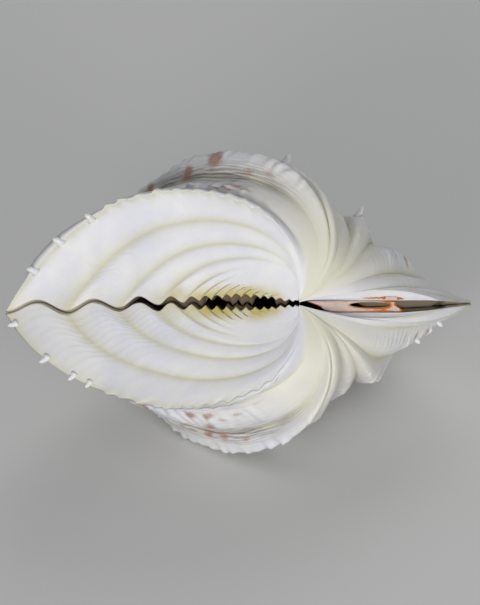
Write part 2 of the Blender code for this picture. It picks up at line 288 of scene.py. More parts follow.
def reliefHeight(station, along, distance, side, sheet):
    # folds + scales + threads + growth lines + the ridge, each fading where the shell doesn't carry
    # it; returns with the height how far each point lies in a groove
    phase = ribPhase(station, along, side)
    fromCrest = 2 * np.abs(phase - np.round(phase))
    face = (station < 0)[:, None]
    fold = 1 - 2 * fromCrest ** np.where(face, relief["faceGroovePower"], relief["groovePower"])
    reach = np.linalg.norm(sheet, axis=2)

    heights = np.array([[path[3]] for path in shellForm["ribPaths"]])
    size = (reach / relief["heightReach"]) ** relief["heightGrowth"] * smoothStep(reach, *relief["ribsFrom"])
    depth = byTable(relief["grooveDepth"], np.clip(station, 0, hingeEnd))[:, None]
    foldHeight = splineRows(heights, np.clip(station, 0, hingeEnd)) * size * depth
    start = byTable(relief["faceRibStart"], np.clip(1 + station, 0, 1))[:, None]
    part = np.clip((along[None, :] - start) / relief["faceRibRise"], 0, 1)
    part = part * part * (3 - 2 * part)
    faceRib = relief["faceRib"] * part * (0.35 + 0.65 * np.clip(1 + station, 0, 1)[:, None])
    height = np.where(face, faceRib, foldHeight) * fold
    shown = np.where(face, part, smoothStep(reach, 18, 56))

    crest = np.round(phase)
    scaleRun = distance[None, :] / relief["scaleStep"] + 3.7 * scatter(crest, 51)
    scaleRun = scaleRun + 0.7 * softNoise(sheet, 40, 33)
    scalePart = scaleRun % 1
    scaleSize = scatter(np.floor(scaleRun) + 13 * crest, 52 if side == "right" else 53) ** 2
    scale = scalePart**2 * (1 - smoothStep(scalePart, 0.82, 1.0)) * (0.15 + 1.2 * scaleSize)
    onCrest = bell(fromCrest, 0, relief["scaleCrestWidth"]) * smoothStep(reach, *relief["scaleFrom"])
    scaleFade = (smoothStep(station, 0.5, 1.0) * (1 - smoothStep(station, 6.2, 7.0)))[:, None]
    height = height + relief["scaleHeight"] * scale * onCrest * scaleFade

    wander = phase * relief["threads"] + 0.35 * softNoise(sheet, 70, 21)
    threadIndex = np.floor(wander)
    strength = 0.25 + 1.1 * scatter(threadIndex, 3 if side == "right" else 8)
    thread = -bell(wander - threadIndex, 0.5, 0.2) * strength
    fade = smoothStep(reach, *relief["threadFrom"]) * (1 - 0.7 * smoothStep(station, 5.5, 7)[:, None])
    height = height + np.where(face, 0, relief["threadHeight"] * thread * fade)

    growth = distance[None, :] / relief["growthStep"] + 0.6 * softNoise(sheet, 60, 5)
    part = growth % 1
    line = part**1.5 * (1 - smoothStep(part, 0.8, 1.0)) - 0.3
    lineStrength = 0.3 + 1.2 * scatter(np.floor(growth), 4)
    lineShare = byTable(relief["growthShare"], station)[:, None]
    height = height + relief["growthHeight"] * line * lineStrength * lineShare * smoothStep(reach, 20, 90)

    width = np.where(station < 0, relief["ridgeFaceWidth"], relief["ridgeFlankWidth"])[:, None]
    width = width * (1 + relief["ridgeSpread"] * (1 - smoothStep(reach, 18, 75)))
    rise = smoothStep(along, 0.02, 0.2) * (1 - 0.5 * smoothStep(along, 0.9, 1.0))
    rise = rise[None, :] * (1 + relief["ridgeAtBeak"] * (1 - smoothStep(reach, 20, 65)))
    height = height + relief["ridgeHeight"] * bell(station[:, None], 0, width) * rise

    bumps = softNoise(sheet, 30, 7 if side == "right" else 9)
    height = height + relief["unevenness"] * bumps * smoothStep(reach, 10, 70)
    return height, np.clip(0.5 - 0.5 * fold, 0, 1) ** 2 * shown


def ridgeTeeth(sheet, station, side):
    # sawteeth of the ridge: each rises towards the margin, then drops, and points sideways
    ridge = sheet[int(np.argmin(np.abs(station)))]
    ahead = -ridge[:, 0]
    tooth = np.zeros(len(ahead))
    for number, place in enumerate(relief["ridgeTeeth"]):
        part = (ahead - place) / relief["ridgeToothLength"] + 0.8
        size = 0.6 + 0.8 * float(scatter(number, 31 if side == "right" else 32))
        tooth = np.maximum(tooth, size * np.clip(part, 0, 1) * (1 - smoothStep(part, 0.85, 1.3)))
    tooth *= np.arange(len(ahead)) > int(np.argmin(ahead))
    step = np.gradient(ridge, axis=0)
    aside = np.stack([-step[:, 1], step[:, 0], 0 * ahead], 1)
    aside *= np.sign(aside[:, 1:2]) / np.maximum(np.linalg.norm(aside, axis=1, keepdims=True), 1e-9)
    aside[:, 2] = 0.4
    spread = bell(station, 0, np.where(station < 0, 0.045, 0.04))[:, None, None]
    return spread * (relief["ridgeToothHeight"] * tooth)[None, :, None] * aside[None]


def outwardWays(sheet, station, along):
    # unit normal of the smooth sheet, turning into the meeting plane over the last fifth
    normal = sheetNormal(sheet, station, along)
    edge = np.cross(np.gradient(sheet[:, -1], station, axis=0), (0, 1, 0))
    edge *= np.sign(np.sum(edge * (sheet[:, -1] - np.array(shellForm["hollowCentre"])), axis=1))[:, None]
    edge /= np.maximum(np.linalg.norm(edge, axis=1, keepdims=True), 1e-9)
    turn = smoothStep(along, shellForm["edgeTurn"], 1.0)[None, :, None]
    way = normal * (1 - turn) + edge[:, None] * turn
    return way / np.linalg.norm(way, axis=2, keepdims=True)


def sheetNormal(sheet, station, along):
    # unit cross product of the two ways across the sheet, pointing out
    normal = np.cross(np.gradient(sheet, station, axis=0), np.gradient(sheet, along, axis=1))
    return normal / np.maximum(np.linalg.norm(normal, axis=2, keepdims=True), 1e-9)


def slideWays(sheet, station, along):
    # x and z gained along the sheet for each mm of y: -ny (nx, nz) / (1 - ny^2), held where it lies flat
    normal = sheetNormal(sheet, station, along)
    level = normal[:, :, 1:2]
    way = -level * normal / np.maximum(1 - level**2, 0.4)
    way[:, :, 1] = 0
    return way


# The grid of each valve, from the beak over the outside, round the lip and back inside

valveGrid = {
    "toothColumnWidth": 0.95,
    "columnsPerTooth": (8, 30),
    "columnsPerRib": 30,
    "columnsPerSlope": 24,
    "hingeColumns": 24,
    "outerRows": 176,
    "innerRows": 9,
}

lips = {
    # depth of each row of the lip, as a share of the wall
    "rows": (0.07, 0.16, 0.28, 0.45, 0.7, 0.95),
    "rounding": 0.35,
    "leastGap": 0.3,
    # how much the inner surface is set off square to the wall rather than towards the hollow's middle
    "squareInward": 1.2,
    # the joint between the closed lips slants, so that no light falls through it
    "slant": 1.6,
    # by x: how far the lips close straight behind their outer edge, and as a shelf deeper down
    "faceClosing": ((-127, 1), (-76, 1), (-74, 0), (0, 0)),
    "faceShelf": (
        (-127, 1), (-76, 1), (-74, 0), (-59, 0), (-57, 1), (-42, 1), (-40.5, 0), (-33, 0), (-31.5, 0.85),
        (-27, 1), (-26.3, 0.55), (-25.6, 1), (-20, 0.9), (-18.5, 0), (-11, 0), (-9.5, 0.9), (-5, 0.9),
        (-4, 0.2), (0, 0.2),
    ),
    "hingeClosing": ((0, 0), (64, 0), (66, 0.8), (76, 1)),
    "hingeShelf": ((0, 0), (27.5, 0), (29.5, 0.95), (62, 0.95), (63, 0.3), (65.5, 0.3), (66.5, 1), (76, 1)),
    # how dark the painted shade of the gap is on the lip and the inside, by x along the face and the hinge,
    # and on the flank
    "faceShade": ((-127, 0.1), (-110, 0.35), (-80, 0.5), (-70, 0.9), (0, 1.0)),
    "hingeShade": ((0, 1.0), (44, 0.85), (62, 0.75), (76, 0.4)),
    "flankShade": 0.3,
}


def stationList():
    # columns by tooth width inside the face, then even steps round the flank, the slope and the hinge
    widths = np.diff(np.append(0.0, toothPlaces))
    counts = np.clip(widths / valveGrid["toothColumnWidth"], *valveGrid["columnsPerTooth"])
    counted = np.append(0.0, np.cumsum(counts))
    places = np.append(0.0, toothPlaces)
    face = np.interp(np.arange(3, counted[-1] - 0.5), counted, places) / places[-1] - 1
    flank = np.arange(0, hingeEnd - 2, 1 / valveGrid["columnsPerRib"])
    slope = np.arange(hingeEnd - 2, hingeEnd, 1 / valveGrid["columnsPerSlope"])
    hinge = hingeEnd + np.linspace(0, 0.965, valveGrid["hingeColumns"])
    return np.concatenate([face, flank, slope, hinge])


def wrapFaces(columns, rows, firstIndex, closedEnds):
    # quads of a grid that closes round its columns; closedEnds are the vertices of the two poles
    column = np.arange(columns)[:, None]
    row = np.arange(rows - 1)[None, :]
    after = (column + 1) % columns
    a, b = column * rows + row, after * rows + row
    quads = np.stack([a, a + 1, b + 1, b], -1).reshape(-1, 4) + firstIndex
    start, end = closedEnds
    here = np.arange(columns) * rows + firstIndex
    there = (np.arange(columns) + 1) % columns * rows + firstIndex
    startFan = np.stack([np.full(columns, start), here, there], -1)
    endFan = np.stack([np.full(columns, end), there + rows - 1, here + rows - 1], -1)
    return quads, np.concatenate([startFan, endFan])


def lipClosing(station):
    # shares of the gap that the lips close: at their edge, and as a shelf deeper down
    x = curveHandles(station)[0][:, 0]
    face = station < 0
    back = station > hingeEnd - 0.5
    edge = np.where(face, byTable(lips["faceClosing"], x), 1.0)
    edge = np.where(back, byTable(lips["hingeClosing"], x), edge)
    shelf = np.where(face, byTable(lips["faceShelf"], x), 1.0)
    shelf = np.where(back, byTable(lips["hingeShelf"], x), shelf)
    return edge, shelf


def valveSkin(side):
    # outer sheet + relief, lip rows that close towards the other valve, and the inner sheet
    station = stationList()
    along, distance = evenAlong(valveGrid["outerRows"], 3)
    sheet = smoothSheet(station, along, side)
    height, groove = reliefHeight(station, along, distance, side, sheet)
    ways = outwardWays(sheet, station, along)
    outer = sheet + ways * height[:, :, None] + ridgeTeeth(sheet, station, side)

    innerAlong = 1 - 0.92 * np.linspace(0, 1, valveGrid["innerRows"]) ** 1.5
    inner = smoothSheet(station, innerAlong, side)
    centre = np.array(shellForm["hollowCentre"], float)
    inward = centre - inner
    inward /= np.linalg.norm(inward, axis=2, keepdims=True)
    normal = sheetNormal(inner, station, innerAlong)
    inward = inward - normal * smoothStep(innerAlong, 0.12, 0.45)[None, :, None] * lips["squareInward"]
    inward /= np.linalg.norm(inward, axis=2, keepdims=True)
    thick, thin = shellForm["wallAtBeak"], shellForm["wallAtMargin"]
    wall = thick + (thin - thick) * smoothStep(innerAlong, 0, shellForm["wallThinnedBy"])
    # the inside follows the grooves, so that the wall keeps its thickness under them
    rowOf = np.clip(np.searchsorted(along, innerAlong), 0, len(along) - 1)
    hollowed = ways[:, rowOf] * np.minimum(height[:, rowOf], 0)[:, :, None]
    inner = inner + inward * wall[None, :, None] + hollowed

    halfGap, lift = marginLine(station, side)
    slope = slideWays(sheet, station, along)
    for points, places, way in ((outer, along, slope), (inner, innerAlong, slope[:, -1:])):
        rise = smoothStep(places, shellForm["lipTurn"], 1.0)[None, :]
        slide = (lift - halfGap)[:, None] * rise
        atLip = smoothStep(places, 0.88, 1.0)[None, :]
        aside = slide * (1 - atLip) + slide**2 / shellForm["slideReach"] * atLip
        points += way * aside[:, :, None]
        points[:, :, 1] += halfGap[:, None] + slide
    sign = 1 if side == "right" else -1
    away = smoothStep(np.linalg.norm(outer[:, -1], axis=1), 2, 12)
    outer[:, -1, 1] = lift + lips["rounding"] * away

    edgeClosing, shelfClosing = lipClosing(station)
    room = np.maximum(halfGap - lips["leastGap"] / 2, 0)[:, None]
    share = np.array(lips["rows"])[None, :]
    edgePart = edgeClosing[:, None] * smoothStep(share, 0, 0.22)
    shelfPart = shelfClosing[:, None] * smoothStep(share, 0.2, 0.6)
    closing = room * np.maximum(edgePart, shelfPart)
    slanted = sign * lips["slant"] * (share - 0.25) * np.clip(share / 0.25, 0, 1) * shelfClosing[:, None]
    lip = outer[:, -1:] * (1 - share[:, :, None]) + inner[:, :1] * share[:, :, None]
    lip[:, :, 1] = lift[:, None] - closing - slanted
    nearEdge = smoothStep(innerAlong, 0.9, 1.0)[None, :]
    inner[:, :, 1] -= (closing[:, -1:] + slanted[:, -1:]) * nearEdge
    inner[:, 0, 1] = lip[:, -1, 1] + lips["rounding"] * away

    grid = np.concatenate([outer, lip, inner], axis=1)
    beak = np.array((0.3, halfGap[0], 0.3))
    root = np.array((0, halfGap[0], 0)) + thick * centre / np.linalg.norm(centre)
    columns, rows = grid.shape[:2]
    points = np.concatenate([grid.reshape(-1, 3), beak[None], root[None]])
    quads, fans = wrapFaces(columns, rows, 0, (len(points) - 2, len(points) - 1))

    def overAll(values, lipValue, innerValue, beakValue):
        # stretch an attribute of the outer sheet over the lip, the inside and the two poles
        inside = np.full((columns, rows - values.shape[1]), innerValue, float)
        inside[:, : share.size] = lipValue
        whole = np.concatenate([values, inside], axis=1).reshape(-1)
        return np.concatenate([whole, [beakValue, float(np.mean(innerValue))]])

    looks = paintValues(station, along, distance, side, sheet, groove)
    attributes = {name: overAll(values, *rest) for name, (values, *rest) in looks.items()}
    return {
        "station": station, "along": along, "outer": outer, "ways": ways,
        "points": points, "quads": quads, "fans": fans, "attributes": attributes,
    }


# Colours of each valve, as values that the shell's material reads

# station, distance from the beak, half length along the rib, half width in stations, strength
colourMarks = {
    "right": (
        (1.85, 98, 4.4, 0.24, 1.0), (1.63, 109, 3.6, 0.18, 1.0), (0.97, 78.6, 7.0, 0.08, 0.9),
        (1.2, 76, 5.0, 0.08, 0.8), (1.13, 71, 5.0, 0.07, 0.7), (0.25, 113.5, 2.4, 0.12, 0.8),
        (1.7, 132, 2.6, 0.14, 0.9), (1.2, 142, 2.6, 0.12, 0.8), (1.7, 68, 4.0, 0.07, 0.6),
        (1.63, 77, 4.0, 0.07, 0.6), (2.4, 100, 4.0, 0.12, 0.7),
    ),
    "left": (
        (1.5, 127, 4.2, 0.14, 1.0), (1.9, 134, 4.4, 0.13, 1.0), (1.27, 99.2, 3.0, 0.11, 0.9),
        (1.7, 110.1, 3.4, 0.12, 1.0), (1.27, 90.7, 3.2, 0.09, 0.9), (1.6, 95.6, 3.2, 0.10, 0.9),
        (1.97, 96.8, 3.2, 0.10, 0.8), (2.03, 85.9, 2.4, 0.08, 0.7), (0.3, 86, 3.6, 0.07, 0.6),
        (1.4, 86, 3.6, 0.06, 0.6), (1.3, 77.4, 4.0, 0.06, 0.6), (2.0, 105.3, 3.0, 0.09, 0.8),
        (1.13, 65.3, 3.0, 0.07, 0.5),
    ),
    "slant": 10,
    # on the flanks that the photo doesn't show, each rib is cut in cells, and a cell has a mark by chance
    "hiddenSpacing": 21,
    "hiddenStagger": 0.31,
    "hiddenLeftOut": 0.42,
    "hiddenStrength": 0.75,
}


def paintValues(station, along, distance, side, sheet, groove):
    # each entry: value on the outside, then on the lip, the inside and the beak
    phase = ribPhase(station, along, side)
    face = (station < 0)[:, None] * np.ones_like(phase)
    reach = np.linalg.norm(sheet, axis=2)
    run = distance[None, :] + 0 * phase
    marks = np.zeros_like(phase)
    for middle, place, long, wide, strength in colourMarks[side]:
        slant = run - place - (station[:, None] - middle) * colourMarks["slant"]
        marks = np.maximum(marks, strength * bell(slant, 0, long) * bell(station[:, None], middle, wide))
    crest = np.round(phase)
    cell = run / colourMarks["hiddenSpacing"] + colourMarks["hiddenStagger"] * crest
    chance = scatter(np.floor(cell) + 17 * crest, 12 if side == "right" else 13)
    marked = chance > colourMarks["hiddenLeftOut"]
    hidden = bell(cell % 1, 0.5, 0.14) * bell(phase - crest, 0.1, 0.24) * marked
    beyond = smoothStep(station, 2.4, 3.4)[:, None] * smoothStep(along, 0.52, 0.66)[None, :]
    marks = np.maximum(marks, colourMarks["hiddenStrength"] * hidden * beyond)
    marks *= (1 - face) * (1 - smoothStep(station, 6.5, 7.5)[:, None])

    nearTeeth = (1 - smoothStep(sheet[:, :, 1], 1.0, 8.0)) * smoothStep(along, 0.45, 0.92)[None, :]
    midFace = smoothStep(station, -0.985, -0.9) * (1 - smoothStep(station, -0.66, -0.42))
    yellow = face * nearTeeth * (0.12 + 0.88 * midFace[:, None])
    yellow = np.maximum(yellow, face * groove * 0.8 * smoothStep(along, 0.6, 0.9)[None, :] * midFace[:, None])
    cream = (1 - face) * (1 - smoothStep(reach, 12, 70)) * smoothStep(station, 0.3, 1.0)[:, None]
    cream = cream * (1 - smoothStep(station, 5.5, 7.5)[:, None])
    # dark stripes in the flank's grooves: part striae, part painted shade that deepens with the groove
    stripesAndShade = (1 - face) * groove**0.45 * smoothStep(reach, 35, 65)
    stripesAndShade = stripesAndShade * (1 - smoothStep(station, 4.5, 6.0)[:, None])
    # the lip and the inside carry painted shade: dark brown where the gap between the valves is deep, paler
    # where it is narrow
    x = curveHandles(station)[0][:, 0]
    lipShade = np.where(station < 0, byTable(lips["faceShade"], x), lips["flankShade"])
    lipShade = np.where(station > hingeEnd - 0.5, byTable(lips["hingeShade"], x), lipShade)
    return {
        "groove": (groove, 0.2, 0.0, 0.0),
        "marks": (marks, 0.0, 0.0, 0.0),
        "yellow": (yellow, 0.3, 0.0, 0.1),
        "cream": (cream, 0.0, 0.0, 0.0),
        "stripesAndShade": (stripesAndShade, 0.0, 0.0, 0.0),
        "lip": (0 * phase, 1.0, 1.0, 0.0),
        "lipShade": (lipShade[:, None] + 0 * phase, lipShade[:, None], lipShade[:, None], 0.0),
        "growth": (run, 0.0, 0.0, 0.0),
        "ribs": (phase, 0.0, 0.0, 0.0),
    }


# Spines: small bent cones grown out of the valve

spines = {
    # on the ridge: station, distance of the foot ahead of the beak, length, thickness, lean to the margin
    "right": (
        (0.0, 115, 3.0, 3.3, 0.7), (0.0, 103.6, 3.2, 3.3, 0.6), (0.0, 90, 2.8, 3.0, 0.6),
    ),
    "left": (
        (0.0, 124, 2.2, 2.8, 0.9), (0.0, 110, 2.8, 3.0, 0.6), (0.0, 98, 2.2, 2.6, 0.6),
        (0.0, 91, 1.8, 2.4, 0.6),
    ),
    # on the flank: station, place along the path, length, thickness, lean
    "flankRight": ((2.87, 0.51, 4.2, 3.4, 0.3), (4.9, 0.57, 4.2, 2.8, 0.2)),
    "flankLeft": ((6.33, 0.74, 2.8, 2.8, 0.2), (6.5, 0.845, 2.8, 2.8, 0.2)),
    "upShare": 0.3,
    "footDepth": 1.8,
    "bend": 0.55,
    "sides": 10,
    "rings": 6,
}


def spineMesh(base, way, lean, length, thickness):
    # rings round a bent line that starts inside the wall: radius = half the thickness x
    # (1 - 0.3 s) x round cap x broad foot
    rings, sides = spines["rings"], spines["sides"]
    depth = spines["footDepth"]
    s = np.linspace(0, 1, rings)[:, None, None]
    turn = np.linspace(0, 2 * math.pi, sides, endpoint=False)[None, :, None]
    sideWay = np.cross(way, lean)
    sideWay /= np.linalg.norm(sideWay)
    frontWay = np.cross(sideWay, way)
    cap = np.sqrt(np.clip(1 - np.clip((s - 0.65) / 0.35, 0, 1) ** 2, 0.02, 1))
    foot = 1 + 0.5 * np.clip(1 - s / 0.6, 0, 1) ** 2
    radius = thickness / 2 * (1 - 0.3 * s) * cap * foot
    centre = base + way * (s * (length + depth) - depth) + lean * (s**1.6 * length * spines["bend"])
    return centre + radius * (np.cos(turn) * sideWay + np.sin(turn) * frontWay)


def spinePlaces(side, skin):
    # station, row, length, thickness and lean of every spine of one valve
    ahead = -skin["outer"][int(np.argmin(np.abs(skin["station"]))), :, 0]
    turnBack = int(np.argmin(ahead))
    places = []
    for station, distance, length, thickness, lean in spines[side]:
        row = turnBack + int(np.argmin(np.abs(ahead[turnBack:] - distance)))
        places.append((station, row, length, thickness, lean))
    for station, along, length, thickness, lean in spines["flankRight" if side == "right" else "flankLeft"]:
        places.append((station, int(np.argmin(np.abs(skin["along"] - along))), length, thickness, lean))
    return places


def addValve(side, material):
    # mirror the left valve across the meeting plane, which also turns its faces round
    skin = valveSkin(side)
    sign = 1 if side == "right" else -1
    points = [skin["points"]]
    quads, fans = [skin["quads"]], [skin["fans"]]
    first = len(skin["points"])
    for station, row, length, thickness, leanShare in spinePlaces(side, skin):
        column = int(np.argmin(np.abs(skin["station"] - station)))
        lastRow = skin["outer"].shape[1] - 1
        ahead = skin["outer"][column, min(row + 3, lastRow)] - skin["outer"][column, row - 3]
        lean = ahead / np.linalg.norm(ahead) * leanShare
        way = skin["ways"][column, row]
        if station < 1:
            # on the ridge they point sideways from it, away from the face
            aside = np.array((-ahead[1], ahead[0], 0)) / np.linalg.norm(ahead[:2])
            aside = aside * (1 if aside[1] > 0 else -1)
            way = way * spines["upShare"] + aside * (1 - spines["upShare"])
            way = way / np.linalg.norm(way)
        ring = spineMesh(skin["outer"][column, row], way, lean, length, thickness)
        ring = ring.transpose(1, 0, 2)
        sides, rings = ring.shape[:2]
        poles = [ring[:, 0].mean(0)[None], ring[:, -1].mean(0)[None]]
        points.append(np.concatenate([ring.reshape(-1, 3), *poles]))
        ends = (first + sides * rings, first + sides * rings + 1)
        ringQuads, ringFans = wrapFaces(sides, rings, first, ends)
        quads.append(ringQuads)
        fans.append(ringFans)
        first += sides * rings + 2
    added = first - len(skin["points"])
    points = np.concatenate(points)
    points[:, 1] *= sign
    quads, fans = np.concatenate(quads), np.concatenate(fans)
    name = f"{side}ValveShell"
    mesh = bpy.data.meshes.new(name)
    mesh.from_pydata(toRow(points).tolist(), [], quads.tolist() + fans.tolist())
    mesh.update()
    for attribute, values in skin["attributes"].items():
        layer = mesh.attributes.new(attribute, "FLOAT", "POINT")
        layer.data.foreach_set("value", np.concatenate([values, np.zeros(added)]).astype(np.float32))
    turnOutward(mesh)
    mesh.shade_smooth()
    mesh.materials.append(material)
    piece = bpy.data.objects.new(name, mesh)
    bpy.context.scene.collection.objects.link(piece)
    print(f"{name}: {len(quads) * 2 + len(fans)} triangles")
    return piece


def turnOutward(mesh):
    # a closed mesh whose faces point out has a positive sum of a . (b x c)
    mesh.calc_loop_triangles()
    corners = np.zeros(len(mesh.loop_triangles) * 3, np.int32)
    mesh.loop_triangles.foreach_get("vertices", corners)
    places = np.zeros(len(mesh.vertices) * 3)
    mesh.vertices.foreach_get("co", places)
    a, b, c = places.reshape(-1, 3)[corners].reshape(-1, 3, 3).transpose(1, 0, 2)
    if np.sum(a * np.cross(b, c)) < 0:
        mesh.flip_normals()
        mesh.update()


# Colours and nodes


def linearColour(hexText):
    # sRGB to linear: c / 12.92 in the toe, ((c + 0.055) / 1.055) ^ 2.4 above it; opaque
    parts = [int(hexText[i:i + 2], 16) / 255 for i in (1, 3, 5)]
    return tuple(c / 12.92 if c <= 0.04045 else ((c + 0.055) / 1.055) ** 2.4 for c in parts) + (1.0,)


def addNode(material, kind, settings=None, links=None):
    # settings are node attributes or, by name or number, input values; links are input: (node, output)
    tree = material.node_tree
    node = tree.nodes.new(kind)
    for name, value in (settings or {}).items():
        if isinstance(name, str) and hasattr(node, name):
            setattr(node, name, value)
        else:
            node.inputs[name].default_value = value
    for name, (source, output) in (links or {}).items():
        tree.links.new(source.outputs[output], node.inputs[name])
    return node


def newMaterial(name):
    material = bpy.data.materials.new(name)
    material.use_nodes = True
    material.node_tree.nodes.clear()
    return material


# The socket numbers of a Mix node in colour mode
mixFactor, mixA, mixB, mixOut = 0, 6, 7, 2


def mixColour(material, factor, first, second):
    # each of the three is a plain value, or a node with its output
    settings = {"data_type": "RGBA", "blend_type": "MIX", "clamp_factor": True}
    links = {}
    for socket, value in ((mixFactor, factor), (mixA, first), (mixB, second)):
        if isinstance(value, tuple) and isinstance(value[0], bpy.types.Node):
            links[socket] = value
        else:
            settings[socket] = value
    return addNode(material, "ShaderNodeMix", settings, links), mixOut


def noiseValue(material, place, scale, detail, roughness):
    settings = {"Scale": scale, "Detail": detail, "Roughness": roughness}
    return addNode(material, "ShaderNodeTexNoise", settings, {"Vector": place}), "Fac"


def mathValue(material, operation, first, second):
    # first is a node with its output, second the same or a plain number
    settings = {"operation": operation}
    links = {0: first}
    if isinstance(second, tuple):
        links[1] = second
    else:
        settings[1] = second
    return addNode(material, "ShaderNodeMath", settings, links), 0


def rangeValue(material, source, low, high, start, end):
    # start where the source is at low or under it, end at high and over it, straight between
    return addNode(material, "ShaderNodeMapRange", {1: low, 2: high, 3: start, 4: end}, {0: source}), 0


# The shell's material

shellLook = {
    "white": "#F0EFEE",
    "coolWhite": "#E6E6EE",
    "cream": "#E2DEC4",
    "yellow": "#CBB860",
    "grooveShade": "#CDC99C",
    # dark stripes: part striae, part painted shade in the flank's grooves
    "stripeAndShade": "#6F696E",
    "ochre": "#B07C4A",
    "russet": "#9C5650",
    # painted shade on the lip and the inside of the gap, from pale to dark
    "paleLipShade": "#BDB6A0",
    "darkLipShade": "#6B5B48",
    "roughness": 0.42,
    "bump": 0.35,
    "grainMm": 0.6,
    "streakUnitsPerRib": 26.0,
    "streakUnitsPerMm": 0.06,
    "striaeRadiansPerMm": 7.0,
}


def makeShellMaterial():
    # Aragonite shell, grown in layers and cleaned: satin white, so soft broad highlights, with painted shade
    # in the grooves tinted greenish yellow, cream near the beaks, greenish yellow at the teeth and broken
    # ochre marks.
    # Noise scales are per metre: 38 gives clouds of about 26 mm, 90 of 11 mm and 260 of 4 mm
    look = shellLook
    material = newMaterial("aragoniteShell")
    place = (addNode(material, "ShaderNodeTexCoord"), "Object")
    values = {
        name: (addNode(material, "ShaderNodeAttribute", {"attribute_name": name}), "Fac")
        for name in ("cream", "yellow", "groove", "ribs", "growth", "stripesAndShade", "marks", "lip", "lipShade")
    }
    cloud = noiseValue(material, place, 38.0, 4.0, 0.6)
    cool = rangeValue(material, cloud, 0.4, 0.65, 0.0, 1.0)
    colour = mixColour(material, cool, linearColour(look["white"]), linearColour(look["coolWhite"]))

    creamShare = mathValue(material, "MULTIPLY", values["cream"], 0.85)
    colour = mixColour(material, creamShare, colour, linearColour(look["cream"]))

    patch = noiseValue(material, place, 90.0, 3.0, 0.55)
    patchShare = rangeValue(material, patch, 0.3, 0.62, 0.35, 1.0)
    yellowShare = mathValue(material, "MULTIPLY", values["yellow"], patchShare)
    colour = mixColour(material, yellowShare, colour, linearColour(look["yellow"]))

    # Painted shade in the grooves, tinted greenish yellow: the deeper in a groove, the darker
    grooveShare = mathValue(material, "MULTIPLY", values["groove"], 0.7)
    colour = mixColour(material, grooveShare, colour, linearColour(look["grooveShade"]))

    # Dark stripes, part striae and part painted shade in the flank's grooves, follow the ribs: noise with 26
    # units to a rib and one to about 17 mm along it
    ribRun = mathValue(material, "MULTIPLY", values["ribs"], look["streakUnitsPerRib"])
    growthRun = mathValue(material, "MULTIPLY", values["growth"], look["streakUnitsPerMm"])
    streakPlace = addNode(material, "ShaderNodeCombineXYZ", None, {"X": ribRun, "Y": growthRun})
    streak = noiseValue(material, (streakPlace, 0), 1.0, 3.0, 0.6)
    streakLine = rangeValue(material, streak, 0.38, 0.56, 0.0, 1.0)
    stripeAndShadeShare = mathValue(material, "MULTIPLY", values["stripesAndShade"], streakLine)
    colour = mixColour(material, stripeAndShadeShare, colour, linearColour(look["stripeAndShade"]))

    ragged = noiseValue(material, place, 260.0, 4.0, 0.7)
    raggedMark = mathValue(material, "ADD", values["marks"], ragged)
    markShare = rangeValue(material, raggedMark, 0.78, 1.25, 0.0, 0.75)
    tone = mixColour(material, patch, linearColour(look["ochre"]), linearColour(look["russet"]))
    colour = mixColour(material, markShare, colour, tone)

    # Painted shade on the lip and the inside, from pale beige to dark brown, so that the gap between the
    # valves looks dark
    lipShadeColour = mixColour(
        material, values["lipShade"], linearColour(look["paleLipShade"]), linearColour(look["darkLipShade"])
    )
    colour = mixColour(material, values["lip"], colour, lipShadeColour)

    # Fine striae, a sine of the distance from the beak, over a grain
    growthWave = mathValue(material, "MULTIPLY", values["growth"], look["striaeRadiansPerMm"])
    striae = addNode(material, "ShaderNodeMath", {"operation": "SINE"}, {0: growthWave})
    grain = noiseValue(material, place, 1 / (look["grainMm"] * mm), 3.0, 0.6)
    uneven = addNode(
        material, "ShaderNodeMath", {"operation": "MULTIPLY_ADD", 1: 0.12}, {0: (striae, 0), 2: grain}
    )
    bump = addNode(
        material, "ShaderNodeBump", {"Strength": look["bump"], "Distance": 0.15 * mm},
        {"Height": (uneven, 0)},
    )
    shader = addNode(
        material, "ShaderNodeBsdfPrincipled", {"Roughness": look["roughness"], "IOR": 1.5},
        {"Base Color": colour, "Normal": (bump, 0)},
    )
    addNode(material, "ShaderNodeOutputMaterial", None, {"Surface": (shader, 0)})
    return material


shellMaterial = makeShellMaterial()
print("shell material made")

for side in ("right", "left"):
    valve = addValve(side, shellMaterial)
    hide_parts(f"{side}_valve")
    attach(valve, "root")

# The ligament: a thin dry strip with a hole in it, and a flake that clings to the upper lip

ligamentForm = {
    # mm along the hinge and across it, counter-clockwise from the rear end
    "strip": (
        (42.6, -0.8), (43.0, 1.1), (38, 1.2), (30, 1.2), (20, 1.2), (10, 1.15), (3.4, 1.1), (5.5, 0.3),
        (8.2, -0.7), (10.2, -1.7), (11.4, -2.9), (14, -3.6), (20, -3.85), (30, -3.85), (38, -3.85),
        (45.6, -3.8), (45.4, -2.6),
    ),
    "hole": (31.3, -0.55, 8.7, 1.15),
    "round": 160,
    "across": 20,
    "thickness": 0.9,
    "sink": 0.9,
    "hingeSlope": -0.397,
    "wave": 0.3,
    # x, y and width of the flake
    "flake": (
        (28.0, 2.3, 0.1), (32, 2.35, 0.5), (36, 2.4, 0.6), (38, 2.4, 1.6), (42, 2.3, 1.7), (46.2, 2.0, 0.5),
    ),
    "flakeColumns": 14,
    "flakeRows": 40,
    # x between which the flake's skin is whole; its ends beyond are orange
    "flakeSkin": (38, 43.4),
    # by x: how orange the strip's edges are, and its lower edge past lowerFrom across the hinge
    "edgeOrange": ((0, 0.9), (19, 0.9), (21, 0.25), (32, 0.4), (40, 0.9), (46, 1.0)),
    "lowerOrange": ((10, 0.2), (18, 1.0), (46, 1.0)),
    "lowerFrom": -1.5,
}

ligamentLook = {
    "skin": "#E3D3CE",
    "skinShade": "#D9B7A8",
    "horn": "#B5551F",
    "paleHorn": "#D98A3A",
    "skinRoughness": 0.62,
    "hornRoughness": 0.38,
}


